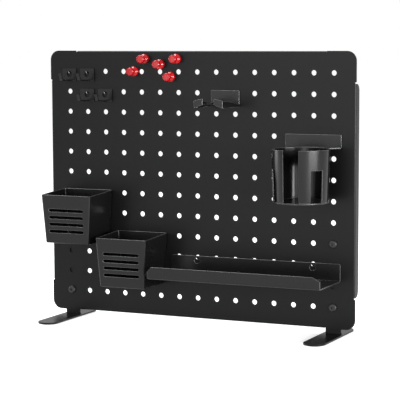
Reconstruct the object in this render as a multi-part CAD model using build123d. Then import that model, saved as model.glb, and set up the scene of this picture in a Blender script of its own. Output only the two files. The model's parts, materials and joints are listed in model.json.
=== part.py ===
"""Pegboard desk organizer: a folded steel peg panel on two feet, with hung bins, a shelf,
a can holder, hooks and push-pin magnets. Millimetres, +X right, +Y back, +Z up.
The origin is on the ground, midway between the feet and midway along them."""
from build123d import *
import os
from math import atan2, cos, radians, sin, sqrt, tan

os.makedirs("parts", exist_ok=True)

cut_margin = 1.0               # cuts run this far past the faces that they open
round_slack = 0.01             # a fully rounded end stops this far short of half its width

# ------------------------------------------------------------------ peg panel
hole_pitch = 25.0
hole_columns = 15
hole_rows = 12
hole_diameter = 6.3
sheet = 1.5                    # panel sheet thickness
side_margin = 27.4             # outer hole column to the panel's side
end_margin = 25.5              # top or bottom hole row to the panel's edge
corner_radius = 11.5
flange_depth = 12.0            # folded edge, front face to free edge
flange_corner = 8.0
bend_outside = 2.0             # outside radius of the panel's bends
bend_inset = 0.4               # the folded edges lie this far inside the flat corners
relief_width = 2.0             # nick between a fold and a flat corner
relief_depth = 1.7
side_fold_inset = 12.5         # outer hole row to the end of a side fold
ground_gap = 8.5               # ground to the panel's lower edge

# ------------------------------------------------------------------ feet
foot_length = 120.0
foot_front = 73.0              # foot's front end to the panel's front face
foot_width = 26.6
foot_plate = 2.0
upright_width = 19.2
upright_plate = 2.0
upright_above_screw = 9.6      # upper screw to the upright's top
fold_clearance = 1.1           # upright to the end of the panel's bottom fold
foot_columns = {"left": 0, "right": hole_columns - 1}
foot_screw_rows = (8, 11)
pad_thickness = 0.8
pad_length = 26.0
pad_border = 2.6               # foot edge to pad edge
weld_leg = 1.4
weld_root = 0.2                # how far the weld bites into the plates that it joins

screw_diameter = 5.0
screw_clearance = 0.3          # screw to its hole in the foot, on the radius
screw_head_diameter = 9.6
screw_head_height = 2.7
screw_head_dome = 1.5          # rounding of the head's edge
socket_flats = 3.2
socket_depth = 1.6
nut_flats = 8.0
nut_thickness = 4.0
nut_bore_clearance = 0.05      # on the radius
thread_beyond_nut = 1.0

# ------------------------------------------------------------------ hanging tabs
hang_gap = 0.2                 # back of a hung piece to the panel
tab_width = 3.6
tab_thickness = 1.5
tab_reach = 7.6                # along its slope, from the back of the hung plate
tab_slope = 45.0               # down behind the panel, degrees
tab_seat_clearance = 0.2       # under the tab, at the lower edge of the hole
tab_opening = 7.2              # round opening that a tab is pressed out of
rim_above_row = 3.4            # top edge of a hung plate above its hole row

# ------------------------------------------------------------------ bins
bin_width = 68.6
bin_floor_width = 59.5
bin_depth = 59.8
bin_floor_depth = 57.0
bin_height = 62.8
bin_wall = 1.2
bin_corner = 2.4
bin_floor_bend = 1.8
bin_rim_fall = 3.3             # the rim is lower at the front by this
bin_tab_columns = 1            # tabs this many columns either side of the middle
bin_slots = 4
bin_slot_length = 48.0
bin_slot_width = 3.6
bin_slot_pitch = 8.6
bin_first_slot = 22.1          # rim line at the back to the uppermost slot
bin_places = ((1, 6), (4, 8))  # column and row of each bin's middle
screw_relief_gap = 0.3         # around a foot screw's head behind a bin
screw_relief_drop = 1.7        # more room under the head, so that the bin lifts off it

# ------------------------------------------------------------------ shelf
shelf_length = 219.0
shelf_depth = 69.0
shelf_above_row = 2.2          # its top edge leaves a sliver of each hole open
shelf_drop = 21.8              # top edge to the underside of its floor
shelf_lip = 14.8
shelf_sheet = 1.5
shelf_bend = 2.2
shelf_lip_left_run = 5.2       # slanted corners of the lip, along it and down
shelf_lip_left_drop = 5.6
shelf_lip_right_run = 9.5
shelf_lip_right_drop = 4.8
shelf_corner = 2.0
shelf_columns = (7, 13)
shelf_row = 9

# ------------------------------------------------------------------ can holder
holder_plate_width = 70.0
holder_plate_height = 16.1
holder_sheet = 1.5
holder_bend = 1.8
holder_radius = 34.0           # outside of the sleeve at its rim
holder_floor_radius = 32.3
holder_middle = 40.5           # panel's front face to the sleeve's axis
holder_height = 61.8           # floor's underside to the rim
holder_floor = 1.5
holder_slot_width = 18.8
holder_window_near = 41.5      # degrees round from the front
holder_window_far = 69.0
holder_window_top = 23.2       # rim to the top of a window
holder_ledge_depth = 22.0      # folded ledge that carries the sleeve
holder_ledge_front = 34.0      # its width at the front
holder_columns = (12, 14)
holder_row = 3

# ------------------------------------------------------------------ forked hook
fork_width = 37.0
fork_plate_height = 18.2
fork_sheet = 1.5
fork_arm_width = 11.2
fork_arm_length = 50.6
fork_arm_drop = 1.2            # plate's lower edge to the arm's outer edge
fork_arm_rise = 3.8            # the arm's inner edge lies above its outer edge by this
fork_lip_inner = 9.9           # front lip's top above the plate's lower edge, inner side
fork_lip_outer = 7.6
fork_side_middle = 23.5        # where the arm's side flange changes its slope
fork_side_middle_height = 5.4
fork_side_root_height = 1.9
fork_columns = (8, 9)
fork_row = 1

# ------------------------------------------------------------------ small hooks
hook_width = 19.6
hook_height = 15.7
hook_sheet = 1.5
hook_prong_width = 4.2
hook_prong_run = 21.0          # front of the plate to the upturn
hook_prong_rise = 1.2          # rise over that run
hook_tip_forward = 3.0
hook_tip_height = 8.5
hook_bend = 1.6
hook_corner = 1.2
hook_places = ((0, 0), (1, 0), (1, 1), (2, 1))

# ------------------------------------------------------------------ push-pin magnets
pin_base_diameter = 12.0
pin_base_height = 3.6
pin_waist_diameter = 7.2
pin_head_diameter = 10.0
pin_head_height = 4.0
pin_length = 14.0
pin_edge = 0.9
pin_base_slope = 2.0           # rise from the base's edge to the waist
pin_head_slope = 1.8           # rise from the waist to the head's edge
magnet_diameter = 8.0
magnet_thickness = 3.0
magnet_chamfer = 0.2
magnet_fit = 0.05              # disc to its pocket, on the radius
pin_places = ((-84.6, 25.3), (-70.4, 10.1), (-49.3, 16.3), (-35.3, 31.5), (-27.1, 9.9))

# ------------------------------------------------------------------ worked out from the sizes above
panel_width = (hole_columns - 1) * hole_pitch + 2 * side_margin
panel_height = (hole_rows - 1) * hole_pitch + 2 * end_margin
panel_middle_z = ground_gap + panel_height / 2
panel_y = foot_front - foot_length / 2
panel_back_y = panel_y + sheet
foot_top_z = pad_thickness + foot_plate


def column_x(column):
    return (column - (hole_columns - 1) / 2) * hole_pitch


def row_z(row):
    return panel_middle_z + ((hole_rows - 1) / 2 - row) * hole_pitch


def frontal(y=0.0, x=0.0, z=0.0):
    """Plane seen from the front: local x to the right, local y up, normal towards the front."""
    return Plane(origin=(x, y, z), x_dir=(1, 0, 0), z_dir=(0, -1, 0))


def slab(outline, front_y, thickness):
    """A front-view outline made solid from front_y backwards."""
    return extrude(frontal(front_y + thickness) * outline, amount=thickness, dir=(0, -1, 0))


def across(profile, left_x, width):
    """A side-view profile (y, z) made solid from left_x to the right."""
    side = Plane(origin=(left_x, 0, 0), x_dir=(0, 1, 0), z_dir=(1, 0, 0))
    return extrude(side * profile, amount=width, dir=(1, 0, 0))


def outline(points, radii=None):
    """Closed face through points; radii maps a point's number to the rounding there."""
    face = make_face(Polyline(*points, close=True))
    for number, radius in (radii or {}).items():
        corner = face.vertices().sort_by_distance(Vector(*points[number]))[0]
        face = fillet(corner, radius)
    return face


def box(x0, x1, y0, y1, z0, z1):
    middle = ((x0 + x1) / 2, (y0 + y1) / 2, (z0 + z1) / 2)
    return Pos(*middle) * Box(x1 - x0, y1 - y0, z1 - z0)


def at_hole(column, row, piece):
    """Move a piece from the panel's own hole frame (front face, hole centre) to its place."""
    return Pos(column_x(column), panel_y, row_z(row)) * piece


# ------------------------------------------------------------------ panel
def folded_edge(length):
    """One folded edge along X, its outer face on z = 0 and its front face on y = 0."""
    zone = bend_outside + cut_margin
    profile = outline(
        [(0, 0), (flange_depth, 0), (flange_depth, sheet), (sheet, sheet), (sheet, zone), (0, zone)],
        {0: bend_outside, 3: bend_outside - sheet})
    piece = across(profile, -length / 2, length)
    free_corners = piece.edges().filter_by(Axis.Z).group_by(Axis.Y)[-1]
    return fillet(free_corners, flange_corner)


def notched_sheet(end_fold, side_fold):
    """The panel's flat, cut back where its edges fold, with a small nick at each fold's end."""
    half_width, half_height = panel_width / 2, panel_height / 2
    strip = bend_outside + cut_margin + bend_inset
    nick = Rectangle(relief_width, 2 * relief_depth)
    nick = fillet(nick.vertices(), relief_width / 2 - round_slack)
    flat = RectangleRounded(panel_width, panel_height, corner_radius)
    for side in (-1, 1):
        flat -= Pos(0, side * (half_height - strip / 2)) * Rectangle(end_fold, strip)
        flat -= Pos(side * (half_width - strip / 2), 0) * Rectangle(strip, side_fold)
        for end in (-1, 1):
            x = end * (end_fold + relief_width) / 2
            z = end * (side_fold + relief_width) / 2
            flat -= Pos(x, side * half_height) * nick
            flat -= Pos(side * half_width, z) * Rot(0, 0, 90) * nick
    return flat


def make_panel():
    end_fold = 2 * (column_x(hole_columns - 1) - upright_width / 2 - fold_clearance)
    side_fold = (hole_rows - 1) * hole_pitch - 2 * side_fold_inset
    edge_x, edge_z = panel_width / 2 - bend_inset, panel_height / 2 - bend_inset
    panel = slab(notched_sheet(end_fold, side_fold), 0, sheet)
    panel += Pos(0, 0, -edge_z) * folded_edge(end_fold)
    panel += Pos(0, 0, edge_z) * Rot(0, 180, 0) * folded_edge(end_fold)
    panel += Pos(edge_x, 0, 0) * Rot(0, -90, 0) * folded_edge(side_fold)
    panel += Pos(-edge_x, 0, 0) * Rot(0, 90, 0) * folded_edge(side_fold)
    places = GridLocations(hole_pitch, hole_pitch, hole_columns, hole_rows)
    holes = Sketch() + [place * Circle(hole_diameter / 2) for place in places]
    panel -= slab(holes, -sheet, 3 * sheet)
    return Pos(0, panel_y, panel_middle_z) * panel


# ------------------------------------------------------------------ feet and their fasteners
def screw_places(column):
    return [(column_x(column), row_z(row)) for row in foot_screw_rows]


def make_foot(column):
    x = column_x(column)
    rounding = foot_width / 2 - round_slack
    base = extrude(Pos(x, 0, pad_thickness) * RectangleRounded(foot_width, foot_length, rounding),
                   amount=foot_plate, dir=(0, 0, 1))
    top_z = max(z for _, z in screw_places(column)) + upright_above_screw
    height = top_z - pad_thickness
    upright = box(x - upright_width / 2, x + upright_width / 2, panel_back_y,
                  panel_back_y + upright_plate, foot_top_z - foot_plate / 2, pad_thickness + height)
    top_corners = upright.edges().filter_by(Axis.Y).group_by(Axis.Z)[-1]
    upright = fillet(top_corners, upright_width / 2 - round_slack)
    back = panel_back_y + upright_plate
    root_y, root_z = back - weld_root, foot_top_z - weld_root
    weld = outline([(root_y, root_z), (back + weld_leg, root_z), (back + weld_leg, foot_top_z),
                    (back, foot_top_z + weld_leg), (root_y, foot_top_z + weld_leg)])
    foot = base + upright + across(weld, x - upright_width / 2, upright_width)
    hole_radius = screw_diameter / 2 + screw_clearance
    for screw_x, z in screw_places(column):
        foot -= Pos(screw_x, back, z) * Rot(90, 0, 0) * Cylinder(hole_radius, 4 * upright_plate)
    return foot


def make_pads(column):
    """Front and rear rubber pads under one foot."""
    x = column_x(column)
    width = foot_width - 2 * pad_border
    pads = []
    for end in (-1, 1):
        middle = end * (foot_length / 2 - pad_border - pad_length / 2)
        face = Pos(x, middle) * RectangleRounded(width, pad_length, width / 2 - round_slack)
        pads.append(extrude(face, amount=pad_thickness, dir=(0, 0, 1)))
    return pads


def make_screw(x, z):
    """Button-head socket screw, its head on the panel's front face."""
    length = sheet + upright_plate + nut_thickness + thread_beyond_nut
    head = Pos(0, 0, screw_head_height / 2) * Cylinder(screw_head_diameter / 2, screw_head_height)
    head = fillet(head.edges().filter_by(GeomType.CIRCLE).group_by(Axis.Z)[-1], screw_head_dome)
    socket = RegularPolygon(socket_flats / 2, 6, major_radius=False)
    head -= extrude(Pos(0, 0, screw_head_height - socket_depth) * socket,
                    amount=socket_depth + cut_margin, dir=(0, 0, 1))
    shank = Pos(0, 0, -length / 2) * Cylinder(screw_diameter / 2, length)
    return Pos(x, panel_y, z) * Rot(90, 0, 0) * (head + shank)


def make_nut(x, z):
    hexagon = RegularPolygon(nut_flats / 2, 6, major_radius=False)
    hexagon -= Circle(screw_diameter / 2 + nut_bore_clearance)
    nut = extrude(hexagon, amount=nut_thickness, dir=(0, 0, -1))
    return Pos(x, panel_back_y + upright_plate, z) * Rot(90, 0, 0) * nut


# ------------------------------------------------------------------ hanging tab
def tab_seat():
    """Height of the tab's underside where it enters the hole, from the hole's centre."""
    hole_radius = hole_diameter / 2
    chord = sqrt(hole_radius ** 2 - (tab_width / 2) ** 2)
    return -chord + tab_seat_clearance + sheet * tan(radians(tab_slope))


def hanging_tab(x, plate, pressed_out=True):
    """The tab behind a hung plate and the round opening that it is pressed out of, in the hole
    frame. The tab slopes back and down through the hole, and stays on one straight line."""
    slope = radians(tab_slope)
    seat = tab_seat()
    normal = (sin(slope) * tab_thickness, cos(slope) * tab_thickness)
    root_y = -hang_gap - plate / 2
    low_root = (root_y, seat - root_y * tan(slope))
    tip_y = -hang_gap + tab_reach * cos(slope)
    low_tip = (tip_y, seat - tip_y * tan(slope))
    high_tip = (low_tip[0] + normal[0], low_tip[1] + normal[1])
    high_y = -hang_gap
    high_root = (high_y, seat - high_y * tan(slope) + tab_thickness / cos(slope))
    profile = outline([low_root, low_tip, high_tip, high_root, (root_y, high_root[1])],
                      {1: tab_thickness / 3, 2: tab_thickness / 3})
    tab = across(profile, x - tab_width / 2, tab_width)
    opening = None
    if pressed_out:
        top = low_root[1]
        disc = Pos(x, top - tab_opening / 2) * Circle(tab_opening / 2)
        opening = slab(disc, -hang_gap - plate - cut_margin, plate + 2 * cut_margin)
    return tab, opening


def with_tabs(piece, offsets, plate, pressed_out=True):
    for x in offsets:
        tab, opening = hanging_tab(x, plate, pressed_out)
        if opening is not None:
            piece -= opening
        piece += tab
    return piece


# ------------------------------------------------------------------ bins
def bin_solid(inset, above):
    """The bin's tapering block, drawn in by inset and carried up above its rim."""
    low = rim_above_row - bin_height
    high = rim_above_row + above

    def at_height(at_floor, at_rim, z):
        return at_floor + (at_rim - at_floor) * (z - low) / bin_height

    def half_width(z):
        return at_height(bin_floor_width, bin_width, z) / 2 - inset

    def front(z):
        return inset - at_height(bin_floor_depth, bin_depth, z)

    floor = low + inset
    back = -hang_gap - inset
    fall = 0 if above else bin_rim_fall
    face = outline([(-half_width(floor), floor), (half_width(floor), floor),
                    (half_width(high), high), (-half_width(high), high)])
    side = outline([(back, floor), (front(floor), floor), (front(high), high - fall), (back, high)])
    block = slab(face, -2 * bin_depth, 2 * bin_depth) & across(side, -bin_width, 2 * bin_width)
    upright_edges = block.edges().filter_by(lambda edge: abs(edge.tangent_at(0.5).Z) > 0.5)
    block = fillet(upright_edges, bin_corner - inset)
    return fillet(block.faces().sort_by(Axis.Z)[0].edges(), bin_floor_bend - inset)


def cut_screw_reliefs(body, column, row):
    """Notch the bin's back corner round each foot screw's head that it hangs over."""
    half_height = screw_head_diameter / 2 + screw_relief_gap
    depth = screw_head_height + screw_relief_gap
    for foot_column in foot_columns.values():
        for screw_row in foot_screw_rows:
            x = column_x(foot_column) - column_x(column)
            z = row_z(screw_row) - row_z(row)
            if abs(x) > bin_floor_width / 2 or not -bin_height < z < 0:
                continue
            side = 1 if x > 0 else -1
            notch = Pos(x, z) * Circle(half_height)
            notch += Pos(x, z - screw_relief_drop) * Circle(half_height)
            notch += Pos(x + side * half_height, z - screw_relief_drop / 2) * Rectangle(
                2 * half_height, 2 * half_height + screw_relief_drop)
            body -= slab(notch, -depth, depth + cut_margin)
    return body


def make_bin(column, row):
    body = bin_solid(0, 0) - bin_solid(bin_wall, bin_wall)
    body = cut_screw_reliefs(body, column, row)
    foremost = -max(bin_depth, bin_floor_depth)
    for slot in range(bin_slots):
        z = rim_above_row - bin_first_slot - slot * bin_slot_pitch
        cut = Pos(0, z) * SlotOverall(bin_slot_length, bin_slot_width)
        body -= slab(cut, foremost - cut_margin, bin_depth / 2)
    reach = bin_tab_columns * hole_pitch
    return at_hole(column, row, with_tabs(body, (-reach, reach), bin_wall, pressed_out=False))


# ------------------------------------------------------------------ shelf
def lip_corner(hand, run, drop, lip_top):
    """What the slanted end of the lip's top edge leaves out, on the right (1) or left (-1)."""
    end = hand * shelf_length / 2
    beyond, above = end + hand * run, lip_top + drop
    face = outline([(beyond, lip_top - 2 * drop), (end - 2 * hand * run, above), (beyond, above)])
    return slab(face, -shelf_depth - cut_margin, shelf_sheet + 2 * cut_margin)


def make_shelf():
    top = shelf_above_row
    under = top - shelf_drop
    back, front = -hang_gap, -shelf_depth
    t, r = shelf_sheet, shelf_bend
    profile = outline(
        [(back, top), (back, under), (front, under), (front, under + shelf_lip),
         (front + t, under + shelf_lip), (front + t, under + t), (back - t, under + t), (back - t, top)],
        {1: r, 2: r, 5: r - t, 6: r - t})
    shelf = across(profile, -shelf_length / 2, shelf_length)
    for hand, run, drop in ((-1, shelf_lip_left_run, shelf_lip_left_drop),
                            (1, shelf_lip_right_run, shelf_lip_right_drop)):
        shelf -= lip_corner(hand, run, drop, under + shelf_lip)
    back_corners = shelf.edges().filter_by(Axis.Y).group_by(Axis.Y)[-1].group_by(Axis.Z)[-1]
    shelf = fillet(back_corners, shelf_corner)
    middle = sum(shelf_columns) / 2
    offsets = [column_x(column) - column_x(middle) for column in shelf_columns]
    return at_hole(middle, shelf_row, with_tabs(shelf, offsets, t))


# ------------------------------------------------------------------ can holder
def holder_levels():
    """Rim, floor top and underside of the holder, from its hole row."""
    rim = rim_above_row - holder_plate_height + holder_sheet
    under = rim - holder_height
    return rim, under + holder_floor, under


def holder_place(piece):
    return at_hole(sum(holder_columns) / 2, holder_row, piece)


def make_holder_bracket():
    t, r = holder_sheet, holder_bend
    top = rim_above_row
    under = top - holder_plate_height
    back = -hang_gap
    front = back - holder_ledge_depth
    profile = outline([(back, top), (back, under), (front, under), (front, under + t),
                       (back - t, under + t), (back - t, top)], {1: r, 4: r - t})
    bracket = across(profile, -holder_plate_width / 2, holder_plate_width)
    half_back, half_front = holder_plate_width / 2, holder_ledge_front / 2
    keep = outline([(-half_back, cut_margin), (half_back, cut_margin), (half_back, back - t - r),
                    (half_front, front), (-half_front, front), (-half_back, back - t - r)])
    keep = extrude(Pos(0, 0, under) * keep, amount=holder_plate_height, dir=(0, 0, 1))
    bracket &= keep
    bracket -= Pos(0, -holder_middle, under) * Cylinder(holder_radius, 4 * holder_plate_height)
    offsets = [column_x(c) - column_x(sum(holder_columns) / 2) for c in holder_columns]
    return holder_place(with_tabs(bracket, offsets, t, pressed_out=False))


def sector(near, far, height):
    """Wedge of the round between two angles from the front, both on the right, 2D for extrusion."""
    reach = 2 * holder_radius
    points = [(0, 0)]
    steps = 3
    for step in range(steps + 1):
        angle = radians(near + (far - near) * step / steps)
        points.append((reach * sin(angle), -reach * cos(angle)))
    return extrude(make_face(Polyline(*points, close=True)), amount=height, dir=(0, 0, 1))


def make_holder_sleeve():
    rim, floor_top, _ = holder_levels()
    height = rim - floor_top
    low, high = holder_floor_radius, holder_radius
    profile = outline([(low - holder_sheet, 0), (low, 0), (high, height), (high - holder_sheet, height)])
    sleeve = revolve(Plane.XZ * profile, axis=Axis.Z)
    half_slot = holder_slot_width / 2
    sleeve -= box(-half_slot, half_slot, -2 * holder_radius, 0, -cut_margin, height + cut_margin)
    window = sector(holder_window_near, holder_window_far, height - holder_window_top + cut_margin)
    window = Pos(0, 0, -cut_margin) * window
    sleeve -= window
    sleeve -= mirror(window, about=Plane.YZ)
    return holder_place(Pos(0, -holder_middle, floor_top) * sleeve)


def make_holder_floor():
    _, _, under = holder_levels()
    disc = extrude(Circle(holder_floor_radius), amount=holder_floor, dir=(0, 0, 1))
    return holder_place(Pos(0, -holder_middle, under) * disc)


# ------------------------------------------------------------------ forked hook
def make_fork():
    t = fork_sheet
    back = -hang_gap
    front = -fork_arm_length
    top = rim_above_row
    under = top - fork_plate_height
    half = fork_width / 2
    outer_low = under - fork_arm_drop
    inner_low = outer_low + fork_arm_rise
    body = box(-half, half, back - t, back, under, top)
    side = outline([(back, outer_low), (front, outer_low), (front, under + fork_lip_outer),
                    (-fork_side_middle, under + fork_side_middle_height),
                    (back - t, under + fork_side_root_height), (back, under + fork_side_root_height)])
    for hand in (-1, 1):
        outer = hand * half
        inner = hand * (half - fork_arm_width)
        arm = outline([(outer, outer_low), (outer, outer_low + t), (inner, inner_low + t),
                       (inner, inner_low)])
        body += slab(arm, front, back - front)
        body += across(side, min(outer, outer - hand * t), t)
        lip = outline([(outer, outer_low), (outer, under + fork_lip_outer),
                       (inner, under + fork_lip_inner), (inner, inner_low)])
        body += slab(lip, front, t)
    offsets = [column_x(c) - column_x(sum(fork_columns) / 2) for c in fork_columns]
    body = with_tabs(body, offsets, t, pressed_out=False)
    return at_hole(sum(fork_columns) / 2, fork_row, body)


# ------------------------------------------------------------------ small hooks
def strip_profile(path, thickness, radius):
    """Side view of a bent strip: path is its lower line, and it lies to the path's upper side."""
    upper = []
    for number, point in enumerate(path):
        before = path[max(number - 1, 0)]
        after = path[min(number + 1, len(path) - 1)]
        first = atan2(point[1] - before[1], point[0] - before[0]) if number else None
        second = atan2(after[1] - point[1], after[0] - point[0]) if after != point else None
        first = second if first is None else first
        second = first if second is None else second
        middle = (first + second) / 2
        reach = thickness / cos((second - first) / 2)
        upper.append((point[0] + reach * sin(middle), point[1] - reach * cos(middle)))
    points = list(path) + upper[::-1]
    count = len(path)
    radii = {}
    for number in range(1, count - 1):
        radii[number] = radius + thickness
        radii[2 * count - 1 - number] = radius
    return outline(points, radii)


def make_hook(column, row):
    t = hook_sheet
    back = -hang_gap
    top = rim_above_row
    under = top - hook_height
    plate = Pos(0, (top + under) / 2) * RectangleRounded(hook_width, hook_height, hook_corner)
    body = slab(plate, back - t, t)
    fold = (back - t / 2, under)
    upturn = (back - t - hook_prong_run, under + hook_prong_rise)
    tip = (upturn[0] - hook_tip_forward, upturn[1] + hook_tip_height)
    prong = strip_profile([fold, upturn, tip], t, hook_bend)
    body += across(prong, -hook_prong_width / 2, hook_prong_width)
    return at_hole(column, row, with_tabs(body, (0,), t))


# ------------------------------------------------------------------ push-pin magnets
def pin_frame(piece, x, below_top):
    """Stand a piece, drawn along +Z from its base, on the panel's front face."""
    z = ground_gap + panel_height - below_top
    return Pos(x, panel_y - hang_gap, z) * Rot(90, 0, 0) * piece


def make_pin_cap():
    """Turned grip with a pocket for the magnet in its base."""
    base, waist, head = pin_base_diameter / 2, pin_waist_diameter / 2, pin_head_diameter / 2
    shoulder = pin_length - pin_head_height
    profile = outline([(0, 0), (base, 0), (base, pin_base_height), (waist, pin_base_height + pin_base_slope),
                       (waist, shoulder - pin_head_slope), (head, shoulder), (head, pin_length), (0, pin_length)],
                      {1: pin_edge / 2, 2: pin_edge, 5: pin_edge, 6: 2 * pin_edge})
    cap = revolve(Plane.XZ * profile, axis=Axis.Z)
    pocket = Cylinder(magnet_diameter / 2 + magnet_fit, 2 * magnet_thickness)
    return cap - pocket


def make_pin_magnet():
    disc = Pos(0, 0, magnet_thickness / 2) * Cylinder(magnet_diameter / 2, magnet_thickness)
    return chamfer(disc.edges().filter_by(GeomType.CIRCLE), magnet_chamfer)


# ------------------------------------------------------------------ write the sub-parts
def write(node, *solids):
    shape = solids[0] if len(solids) == 1 else Compound(children=list(solids))
    export_step(shape, f"parts/{node}.step")


write("panel", make_panel())
for hand, column in foot_columns.items():
    write(f"{hand}_foot", make_foot(column))
    write(f"{hand}_foot_pads", *make_pads(column))
    write(f"{hand}_foot_screws", *[make_screw(x, z) for x, z in screw_places(column)])
    write(f"{hand}_foot_nuts", *[make_nut(x, z) for x, z in screw_places(column)])
for name, place in zip(("upper_bin", "lower_bin"), bin_places):
    write(name, make_bin(*place))
write("shelf", make_shelf())
write("can_holder_bracket", make_holder_bracket())
write("can_holder_sleeve", make_holder_sleeve())
write("can_holder_floor", make_holder_floor())
write("forked_hook", make_fork())
for number, place in enumerate(hook_places, 1):
    write(f"small_hook_{number}", make_hook(*place))
for number, place in enumerate(pin_places, 1):
    write(f"pin_{number}_cap", pin_frame(make_pin_cap(), *place))
    write(f"pin_{number}_magnet", pin_frame(make_pin_magnet(), *place))
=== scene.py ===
"""Looks of the pegboard desk organizer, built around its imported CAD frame. Metres, +Z up."""
import json
import math

import bpy
from mathutils import Matrix, Vector

MM = 0.001

# ---------------------------------------------------------------- camera, from the peg grid's perspective
LENS_MM = 146.41
SENSOR_MM = 36.0
CAMERA_POSITION = (828.8 * MM, -1766.3 * MM, 352.4 * MM)
CAMERA_AZIMUTH = 24.888       # degrees to the right of straight ahead
CAMERA_ELEVATION = 5.766      # degrees above the horizon
CAMERA_ROLL = -0.191          # degrees about the line of sight
CLIP_NEAR = 0.05
CLIP_FAR = 100.0

# ---------------------------------------------------------------- lights and floor
BACKGROUND_WHITE = 1.0        # the world's strength where it is seen, directly or in gloss
AMBIENT = 0.45                # its strength as a light on the object
LIGHT_TARGET = Vector((0, 0, 0.17))
SOFTBOXES = (
    # azimuth and elevation in degrees, distance, width and height in metres, power in watts
    ("front_softbox", 9, 7, 2.4, 3.6, 0.86, 36),
    ("right_softbox", 69, 4, 2.3, 1.5, 0.62, 95),
    ("left_softbox", -87, 6, 2.3, 0.56, 0.8, 16),
    ("top_softbox", -77, 64, 2.2, 1.0, 1.0, 52),
)
FLOOR_SIZE = 30.0
FLOOR_GAP = 0.2 * MM          # keeps the floor clear of the pads' undersides
FLOOR_COLOUR = 0.80
FLOOR_LIFT = 0.62             # own light of the floor, for the camera and in gloss

# ---------------------------------------------------------------- edges
COAT_EDGE = 0.40 * MM         # rounding that the powder coat gives a sheet's edges
COAT_SEGMENTS = 3
FINE_EDGE = 0.15 * MM         # for the stand and the small pieces
FINE_SEGMENTS = 2
EDGE_ANGLE = math.radians(32)
FLAT_ANGLE = math.radians(0.6)
WELD_DISTANCE = 0.001 * MM
EDGE_SLOT = 1                 # material slot of the rounded edges
AFTER_WELD = 1                # place in the row of modifiers

# ---------------------------------------------------------------- coats
COAT_GRAIN = 0.02 * MM        # height of the powder coat's texture
COAT_DRIFT = 0.03             # how far its roughness wanders either way
NOISE_RANGE = (0.3, 0.7)      # the part of 0 to 1 that soft noise fills


# ---------------------------------------------------------------- node helpers
def new_material(name):
    material = bpy.data.materials.new(name)
    material.use_nodes = True
    tree = material.node_tree
    shader = tree.nodes["Principled BSDF"]
    return material, tree, shader


def node(tree, kind, **values):
    made = tree.nodes.new(kind)
    for key, value in values.items():
        setattr(made, key, value)
    return made


def noise(tree, coordinates, scale, detail, roughness):
    made = node(tree, "ShaderNodeTexNoise")
    made.inputs["Scale"].default_value = scale
    made.inputs["Detail"].default_value = detail
    made.inputs["Roughness"].default_value = roughness
    tree.links.new(coordinates, made.inputs["Vector"])
    return made.outputs["Fac"]


def spread(tree, value, low, high, from_low=0.0, from_high=1.0):
    """Map a pattern between from_low and from_high onto low to high."""
    made = node(tree, "ShaderNodeMapRange")
    made.inputs["From Min"].default_value = from_low
    made.inputs["From Max"].default_value = from_high
    made.inputs["To Min"].default_value = low
    made.inputs["To Max"].default_value = high
    tree.links.new(value, made.inputs["Value"])
    return made.outputs["Result"]


def blend_colours(tree, factor, first, second):
    made = node(tree, "ShaderNodeMix", data_type="RGBA")
    made.inputs["A"].default_value = (*first, 1)
    made.inputs["B"].default_value = (*second, 1)
    tree.links.new(factor, made.inputs["Factor"])
    return made.outputs["Result"]


def bump(tree, height, distance, strength=1.0, after=None):
    """Raise a surface by a pattern, on top of the bump named by after."""
    made = node(tree, "ShaderNodeBump")
    made.inputs["Distance"].default_value = distance
    made.inputs["Strength"].default_value = strength
    tree.links.new(height, made.inputs["Height"])
    if after is not None:
        tree.links.new(after, made.inputs["Normal"])
    return made.outputs["Normal"]


def larger(tree, first, second):
    made = node(tree, "ShaderNodeMath", operation="MAXIMUM")
    tree.links.new(first, made.inputs[0])
    tree.links.new(second, made.inputs[1])
    return made.outputs[0]


# ---------------------------------------------------------------- materials
def powder_coat(name, roughness, specular):
    """Fine-textured black powder coat on steel."""
    material, tree, shader = new_material(name)
    place = node(tree, "ShaderNodeTexCoord").outputs["Object"]
    texture = noise(tree, place, 1900.0, 3.0, 0.6)
    peel = noise(tree, place, 420.0, 2.0, 0.5)
    cloud = noise(tree, place, 9.0, 3.0, 0.55)
    tree.links.new(blend_colours(tree, cloud, (0.0026, 0.0026, 0.0028), (0.0042, 0.0042, 0.0044)),
                   shader.inputs["Base Color"])
    tree.links.new(spread(tree, cloud, roughness - COAT_DRIFT, roughness + COAT_DRIFT, *NOISE_RANGE),
                   shader.inputs["Roughness"])
    fine = bump(tree, texture, COAT_GRAIN, 0.6)
    tree.links.new(bump(tree, peel, COAT_GRAIN, 0.35, fine), shader.inputs["Normal"])
    shader.inputs["Specular IOR Level"].default_value = specular
    return material


def painted_edge_highlight():
    """Powder coat along the sheet's rounded edges, smoother and glossier, and paler as a painted
    highlight of the edge lines.
    """
    material, tree, shader = new_material("rubbed_edge_coat")
    place = node(tree, "ShaderNodeTexCoord").outputs["Object"]
    cloud = noise(tree, place, 60.0, 3.0, 0.6)
    # The paler colour along the edges is a painted highlight of the bright edge lines.
    tree.links.new(blend_colours(tree, cloud, (0.020, 0.020, 0.021), (0.060, 0.060, 0.062)),
                   shader.inputs["Base Color"])
    tree.links.new(spread(tree, cloud, 0.20, 0.30, *NOISE_RANGE), shader.inputs["Roughness"])
    shader.inputs["Specular IOR Level"].default_value = 0.45
    return material


def black_oxide():
    """Blackened steel of the screws and nuts."""
    material, tree, shader = new_material("black_oxide_steel")
    place = node(tree, "ShaderNodeTexCoord").outputs["Object"]
    cloud = noise(tree, place, 600.0, 3.0, 0.6)
    tree.links.new(blend_colours(tree, cloud, (0.006, 0.006, 0.0065), (0.013, 0.0125, 0.012)),
                   shader.inputs["Base Color"])
    tree.links.new(spread(tree, cloud, 0.32, 0.46, *NOISE_RANGE), shader.inputs["Roughness"])
    shader.inputs["Specular IOR Level"].default_value = 0.3
    return material


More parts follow.
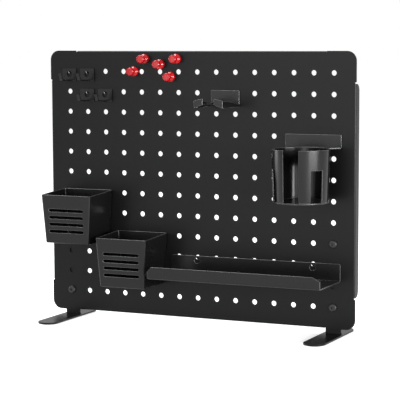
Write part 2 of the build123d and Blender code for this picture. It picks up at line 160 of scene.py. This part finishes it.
def pad_rubber():
    """Dull black rubber under the feet."""
    material, tree, shader = new_material("pad_rubber")
    place = node(tree, "ShaderNodeTexCoord").outputs["Object"]
    grain = noise(tree, place, 900.0, 3.0, 0.6)
    tree.links.new(blend_colours(tree, grain, (0.008, 0.008, 0.008), (0.016, 0.016, 0.016)),
                   shader.inputs["Base Color"])
    tree.links.new(bump(tree, grain, 0.03 * MM), shader.inputs["Normal"])
    shader.inputs["Roughness"].default_value = 0.8
    return material


def red_gloss():
    """Moulded red plastic with a faint mould texture under its gloss."""
    material, tree, shader = new_material("red_gloss_plastic")
    place = node(tree, "ShaderNodeTexCoord").outputs["Object"]
    cloud = noise(tree, place, 160.0, 2.0, 0.5)
    tree.links.new(blend_colours(tree, cloud, (0.24, 0.002, 0.004), (0.30, 0.004, 0.006)),
                   shader.inputs["Base Color"])
    tree.links.new(bump(tree, cloud, 0.02 * MM, 0.3), shader.inputs["Normal"])
    shader.inputs["Roughness"].default_value = 0.16
    shader.inputs["Specular IOR Level"].default_value = 0.28
    return material


def nickel():
    """Plated discs of the pins' magnets."""
    material, tree, shader = new_material("nickel_plate")
    place = node(tree, "ShaderNodeTexCoord").outputs["Object"]
    cloud = noise(tree, place, 300.0, 3.0, 0.6)
    tree.links.new(blend_colours(tree, cloud, (0.56, 0.54, 0.50), (0.64, 0.62, 0.58)),
                   shader.inputs["Base Color"])
    tree.links.new(spread(tree, cloud, 0.18, 0.30, *NOISE_RANGE), shader.inputs["Roughness"])
    shader.inputs["Metallic"].default_value = 1.0
    return material


def paint(obj, *materials):
    obj.data.materials.clear()
    for material in materials:
        obj.data.materials.append(material)


# ---------------------------------------------------------------- edge rounding
def round_edges(obj, width, segments):
    """Weld the mesh's seams and round its sharp edges, as a coat of powder does."""
    weld = obj.modifiers.new("weld", "WELD")
    weld.merge_threshold = WELD_DISTANCE
    bevel = obj.modifiers.new("edge_rounding", "BEVEL")
    bevel.width = width
    bevel.segments = segments
    bevel.limit_method = "ANGLE"
    bevel.angle_limit = EDGE_ANGLE
    bevel.use_clamp_overlap = True
    even = obj.modifiers.new("even_shading", "WEIGHTED_NORMAL")
    even.mode = "FACE_AREA"
    even.keep_sharp = True
    for polygon in obj.data.polygons:
        polygon.use_smooth = True
    return bevel


def round_full_width(obj, width, segments):
    """Round edges at their full width and in a material slot of their own. Coplanar triangles are
    joined first, because their slivers would hold the rounding back."""
    bevel = round_edges(obj, width, segments)
    bevel.use_clamp_overlap = False
    bevel.material = EDGE_SLOT
    flat = obj.modifiers.new("flat_faces", "DECIMATE")
    flat.decimate_type = "DISSOLVE"
    flat.angle_limit = FLAT_ANGLE
    obj.modifiers.move(len(obj.modifiers) - 1, AFTER_WELD)


# ---------------------------------------------------------------- stage
def direction(azimuth, elevation):
    """Unit vector away from the object; azimuth is degrees to the right of the panel's front."""
    turn, rise = math.radians(azimuth), math.radians(elevation)
    return Vector((math.sin(turn) * math.cos(rise), -math.cos(turn) * math.cos(rise),
                   math.sin(rise)))


def make_floor():
    """Pale floor that looks white to the camera and in gloss, and keeps the object's shadow."""
    mesh = bpy.data.meshes.new("floor")
    half = FLOOR_SIZE / 2
    mesh.from_pydata([(-half, -half, 0), (half, -half, 0), (half, half, 0), (-half, half, 0)], [],
                     [(0, 1, 2, 3)])
    floor = bpy.data.objects.new("floor", mesh)
    floor.location.z = -FLOOR_GAP
    bpy.context.scene.collection.objects.link(floor)
    material, tree, shader = new_material("pale_floor")
    shader.inputs["Base Color"].default_value = (FLOOR_COLOUR, FLOOR_COLOUR, FLOOR_COLOUR, 1)
    shader.inputs["Roughness"].default_value = 0.9
    shader.inputs["Specular IOR Level"].default_value = 0.1
    shader.inputs["Emission Color"].default_value = (1, 1, 1, 1)
    path = node(tree, "ShaderNodeLightPath")
    seen = larger(tree, path.outputs["Is Camera Ray"], path.outputs["Is Glossy Ray"])
    lift = node(tree, "ShaderNodeMath", operation="MULTIPLY")
    lift.inputs[1].default_value = FLOOR_LIFT
    tree.links.new(seen, lift.inputs[0])
    tree.links.new(lift.outputs[0], shader.inputs["Emission Strength"])
    floor.data.materials.append(material)


def make_world():
    """White background where it is seen, and a weaker even light on the object."""
    world = bpy.data.worlds.new("studio")
    bpy.context.scene.world = world
    world.use_nodes = True
    tree = world.node_tree
    background = tree.nodes["Background"]
    background.inputs["Color"].default_value = (1, 1, 1, 1)
    path = node(tree, "ShaderNodeLightPath")
    seen = larger(tree, path.outputs["Is Camera Ray"], path.outputs["Is Glossy Ray"])
    seen = larger(tree, seen, path.outputs["Is Transmission Ray"])
    tree.links.new(spread(tree, seen, AMBIENT, BACKGROUND_WHITE), background.inputs["Strength"])


def softbox(name, azimuth, elevation, distance, width, height, power):
    """Soft lamp aimed at the object."""
    data = bpy.data.lights.new(name, "AREA")
    data.shape = "RECTANGLE"
    data.size = width
    data.size_y = height
    data.energy = power
    light = bpy.data.objects.new(name, data)
    bpy.context.scene.collection.objects.link(light)
    light.visible_camera = False
    outward = direction(azimuth, elevation)
    light.location = LIGHT_TARGET + distance * outward
    light.rotation_euler = (-outward).to_track_quat("-Z", "Y").to_euler()


def make_camera():
    data = bpy.data.cameras.new("camera")
    data.sensor_width = SENSOR_MM
    data.lens = LENS_MM
    data.clip_start = CLIP_NEAR
    data.clip_end = CLIP_FAR
    camera = bpy.data.objects.new("camera", data)
    bpy.context.scene.collection.objects.link(camera)
    backward = direction(CAMERA_AZIMUTH, CAMERA_ELEVATION)
    turn = (-backward).to_track_quat("-Z", "Y").to_matrix().to_4x4()
    roll = Matrix.Rotation(math.radians(CAMERA_ROLL), 4, "Z")
    camera.matrix_world = Matrix.Translation(CAMERA_POSITION) @ turn @ roll
    bpy.context.scene.camera = camera


# ---------------------------------------------------------------- build
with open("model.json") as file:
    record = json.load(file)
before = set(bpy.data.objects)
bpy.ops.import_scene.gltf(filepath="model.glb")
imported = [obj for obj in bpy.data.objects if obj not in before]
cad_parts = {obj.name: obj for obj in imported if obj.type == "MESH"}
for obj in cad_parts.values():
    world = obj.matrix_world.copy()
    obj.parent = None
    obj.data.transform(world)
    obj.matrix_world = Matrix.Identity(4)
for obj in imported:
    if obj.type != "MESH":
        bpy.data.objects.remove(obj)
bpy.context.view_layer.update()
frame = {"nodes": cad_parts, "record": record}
nodes = frame["nodes"]
slots = {part["node"]: part["material_slot"] for part in frame["record"]["subparts"]}
stand = set(frame["record"]["behaviour"]["bodies"]["stand"])

stand_coat = powder_coat("black_powder_coat", 0.34, 0.12)
hung_coat = powder_coat("satin_powder_coat", 0.27, 0.20)
sleeve_coat = powder_coat("gloss_powder_coat", 0.16, 0.20)
# The edges' material holds a painted highlight: its paler colour stands in for the light caught by the
# rounded edges.
edge_coat = painted_edge_highlight()
uncoated = {"rubber_pad": pad_rubber(), "black_fastener": black_oxide(), "pin_red": red_gloss(),
            "magnet_nickel": nickel()}

for name, obj in nodes.items():
    if slots[name] in uncoated or name in stand or name.startswith("small_hook"):
        paint(obj, uncoated.get(slots[name], stand_coat if name in stand else hung_coat))
        round_edges(obj, FINE_EDGE, FINE_SEGMENTS)
    else:
        paint(obj, sleeve_coat if name == "can_holder_sleeve" else hung_coat, edge_coat)
        round_full_width(obj, COAT_EDGE, COAT_SEGMENTS)

make_floor()
make_world()
for lamp in SOFTBOXES:
    softbox(*lamp)
make_camera()
bpy.context.scene.view_settings.view_transform = "Standard"
